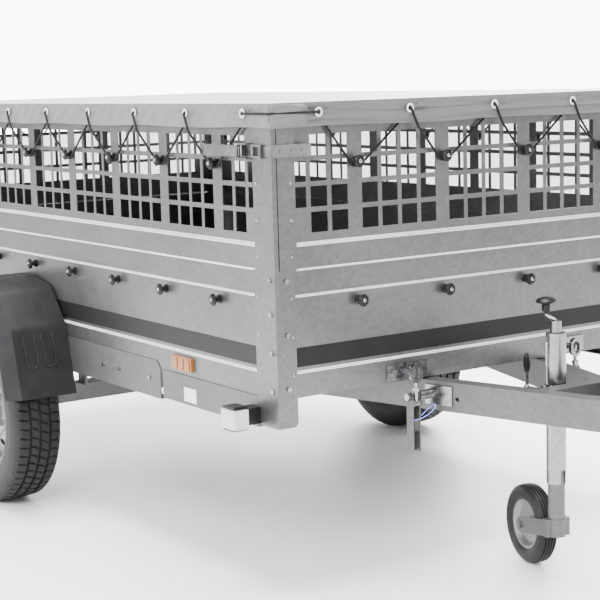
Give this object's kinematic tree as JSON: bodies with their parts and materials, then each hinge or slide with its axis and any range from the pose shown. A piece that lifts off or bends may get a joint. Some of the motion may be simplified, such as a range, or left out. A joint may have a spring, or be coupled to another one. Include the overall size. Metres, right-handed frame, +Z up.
{
  "type": "livestock trailer",
  "caption": "Tilting box trailer with lattice sides, flat tarpaulin laced to hooks, V drawbar with ball coupling and cranked jockey wheel, torsion axle, mudguards and hinged tailgate.",
  "frame": {"origin": "on the ground under the middle of the overall length and width", "axes": "+X forward to the coupling, +Y left, +Z up"},
  "size_m": [3.33, 1.69, 1.1685],
  "materials": {
    "galvanised_steel": "satin galvanised sheet",
    "zinc_steel": "bright zinc",
    "black_plastic": "matt",
    "guard_plastic": "matt",
    "tarpaulin": "coated fabric",
    "elastic_cord": "matt",
    "plywood": "film faced plywood",
    "amber_lens": "gloss",
    "red_lens": "gloss",
    "clear_lens": "gloss",
    "soft_rubber": "matt",
    "tyre": "matt",
    "wheel_steel": "satin silver"
  },
  "bodies": {
    "bed": {"floor_board": "plywood", "floor_cross_members": "galvanised_steel", "sill_plates": "galvanised_steel", "side_wall_right": "galvanised_steel", "side_wall_left": "galvanised_steel", "front_wall": "galvanised_steel", "lattice_right": "galvanised_steel", "lattice_left": "galvanised_steel", "lattice_front": "galvanised_steel", "lattice_rear": "galvanised_steel", "lower_corner_posts": "galvanised_steel", "upper_corner_posts": "galvanised_steel", "cord_hooks": "black_plastic", "tailgate_hinge_pins": "zinc_steel", "cover_sheet": "tarpaulin", "cover_cord": "elastic_cord", "marker_lamp_arms": "soft_rubber", "marker_lamps": "clear_lens", "side_reflectors": "amber_lens", "rear_lamps": "red_lens", "corner_latches": "zinc_steel", "mudguard_right": "guard_plastic", "mudguard_left": "guard_plastic", "axle_beam": "galvanised_steel", "axle_brackets": "galvanised_steel", "tilt_pivot_pins": "zinc_steel", "tilt_keepers": "zinc_steel", "frame_bolts": "zinc_steel"},
    "tailgate": {"tailgate_panel": "galvanised_steel", "tailgate_hooks": "black_plastic", "tailgate_fittings": "zinc_steel"},
    "drawbar": {"drawbar_arm_right": "galvanised_steel", "drawbar_arm_left": "galvanised_steel", "drawbar_cross_brace": "galvanised_steel", "coupling_head": "zinc_steel", "coupling_bolts": "zinc_steel", "tilt_latch_bosses": "zinc_steel", "jockey_clamp": "zinc_steel"},
    "coupling_handle": {"coupling_handle": "black_plastic"},
    "jockey_tube": {"jockey_outer_tube": "zinc_steel"},
    "clamp_handle": {"clamp_handle": "zinc_steel"},
    "jockey_crank": {"jockey_crank": "zinc_steel"},
    "jockey_nut": {"jockey_nut": "zinc_steel"},
    "jockey_leg": {"jockey_leg": "galvanised_steel"},
    "jockey_wheel": {"jockey_rim": "wheel_steel", "jockey_tyre": "tyre"},
    "trailing_arm_right": {"trailing_arm_right": "galvanised_steel"},
    "wheel_right": {"wheel_rim_right": "wheel_steel", "tyre_right": "tyre"},
    "tilt_latch_lever_right": {"tilt_latch_lever_right": "galvanised_steel"},
    "tilt_latch_eye_right": {"tilt_latch_eye_right": "zinc_steel"},
    "latch_lever_front_right": {"latch_lever_front_right": "zinc_steel"},
    "latch_lever_rear_right": {"latch_lever_rear_right": "zinc_steel"},
    "trailing_arm_left": {"trailing_arm_left": "galvanised_steel"},
    "wheel_left": {"wheel_rim_left": "wheel_steel", "tyre_left": "tyre"},
    "tilt_latch_lever_left": {"tilt_latch_lever_left": "galvanised_steel"},
    "tilt_latch_eye_left": {"tilt_latch_eye_left": "zinc_steel"},
    "latch_lever_front_left": {"latch_lever_front_left": "zinc_steel"},
    "latch_lever_rear_left": {"latch_lever_rear_left": "zinc_steel"}
  },
  "joints": [
    {"name": "drawbar_tilt", "type": "hinge", "parent": "bed", "child": "drawbar", "pos_m": [-0.445, 0, 0.436], "axis": [0, 1, 0], "range_deg": [0, 20]},
    {"name": "tailgate_swing", "type": "hinge", "parent": "bed", "child": "tailgate", "pos_m": [-1.637, 0, 0.484], "axis": [0, -1, 0], "range_deg": [0, 95]},
    {"name": "suspension_right", "type": "hinge", "parent": "bed", "child": "trailing_arm_right", "pos_m": [-0.495, -0.65, 0.32], "axis": [0, 1, 0], "range_deg": [-6, 8], "stiffness_Nm_per_rad": 2200, "springref_deg": -4.3},
    {"name": "wheel_spin_right", "type": "hinge", "parent": "trailing_arm_right", "child": "wheel_right", "pos_m": [-0.635, -0.75, 0.274], "axis": [0, 1, 0], "continuous": true},
    {"name": "tilt_latch_swing_right", "type": "hinge", "parent": "drawbar", "child": "tilt_latch_lever_right", "pos_m": [0.729, -0.26399, 0.45], "axis": [0, -1, 0], "range_deg": [0, 100]},
    {"name": "tilt_latch_eye_turn_right", "type": "hinge", "parent": "tilt_latch_lever_right", "child": "tilt_latch_eye_right", "pos_m": [0.741, -0.26399, 0.435], "axis": [0, -1, 0], "range_deg": [-100, 0]},
    {"name": "corner_latch_front_right", "type": "hinge", "parent": "bed", "child": "latch_lever_front_right", "pos_m": [0.589, -0.654, 0.9], "axis": [0, 0, 1], "range_deg": [0, 110]},
    {"name": "corner_latch_rear_right", "type": "hinge", "parent": "bed", "child": "latch_lever_rear_right", "pos_m": [-1.515, -0.654, 0.74], "axis": [0, 0, -1], "range_deg": [0, 110]},
    {"name": "suspension_left", "type": "hinge", "parent": "bed", "child": "trailing_arm_left", "pos_m": [-0.495, 0.65, 0.32], "axis": [0, 1, 0], "range_deg": [-6, 8], "stiffness_Nm_per_rad": 2200, "springref_deg": -4.3},
    {"name": "wheel_spin_left", "type": "hinge", "parent": "trailing_arm_left", "child": "wheel_left", "pos_m": [-0.635, 0.75, 0.274], "axis": [0, 1, 0], "continuous": true},
    {"name": "tilt_latch_swing_left", "type": "hinge", "parent": "drawbar", "child": "tilt_latch_lever_left", "pos_m": [0.729, 0.26399, 0.45], "axis": [0, -1, 0], "range_deg": [0, 100]},
    {"name": "tilt_latch_eye_turn_left", "type": "hinge", "parent": "tilt_latch_lever_left", "child": "tilt_latch_eye_left", "pos_m": [0.741, 0.26399, 0.435], "axis": [0, -1, 0], "range_deg": [-100, 0]},
    {"name": "corner_latch_front_left", "type": "hinge", "parent": "bed", "child": "latch_lever_front_left", "pos_m": [0.589, 0.654, 0.9], "axis": [0, 0, -1], "range_deg": [0, 110]},
    {"name": "corner_latch_rear_left", "type": "hinge", "parent": "bed", "child": "latch_lever_rear_left", "pos_m": [-1.515, 0.654, 0.74], "axis": [0, 0, 1], "range_deg": [0, 110]},
    {"name": "coupling_handle_lift", "type": "hinge", "parent": "drawbar", "child": "coupling_handle", "pos_m": [1.559, 0, 0.516], "axis": [0, 1, 0], "range_deg": [0, 60]},
    {"name": "jockey_raise", "type": "slide", "parent": "drawbar", "child": "jockey_tube", "axis": [0, 0, 1], "range_m": [0, 0.13]},
    {"name": "clamp_screw_turn", "type": "hinge", "parent": "drawbar", "child": "clamp_handle", "pos_m": [0.923, 0, 0.454], "axis": [1, 0, 0], "range_deg": [-180, 180]},
    {"name": "crank_turn", "type": "hinge", "parent": "jockey_tube", "child": "jockey_crank", "pos_m": [0.947, 0, 0.603], "axis": [0, 0, 1], "range_deg": [-7200, 1800]},
    {"name": "leg_travel", "type": "slide", "parent": "jockey_tube", "child": "jockey_nut", "axis": [0, 0, 1], "range_m": [-0.1201, 0.0301]},
    {"name": "leg_swivel", "type": "hinge", "parent": "jockey_nut", "child": "jockey_leg", "pos_m": [0.947, 0, 0.392], "axis": [0, 0, 1], "continuous": true},
    {"name": "jockey_wheel_spin", "type": "hinge", "parent": "jockey_leg", "child": "jockey_wheel", "pos_m": [0.82377, 0.03072, 0.1], "axis": [0.2419, 0.9703, 0], "continuous": true}
  ],
  "couplings": [
    {"joint": "tilt_latch_eye_turn_right", "follows": "tilt_latch_swing_right", "ratio": -1},
    {"joint": "tilt_latch_eye_turn_left", "follows": "tilt_latch_swing_left", "ratio": -1},
    {"joint": "leg_travel", "follows": "crank_turn", "m_per_rad": 0.00095493}
  ]
}
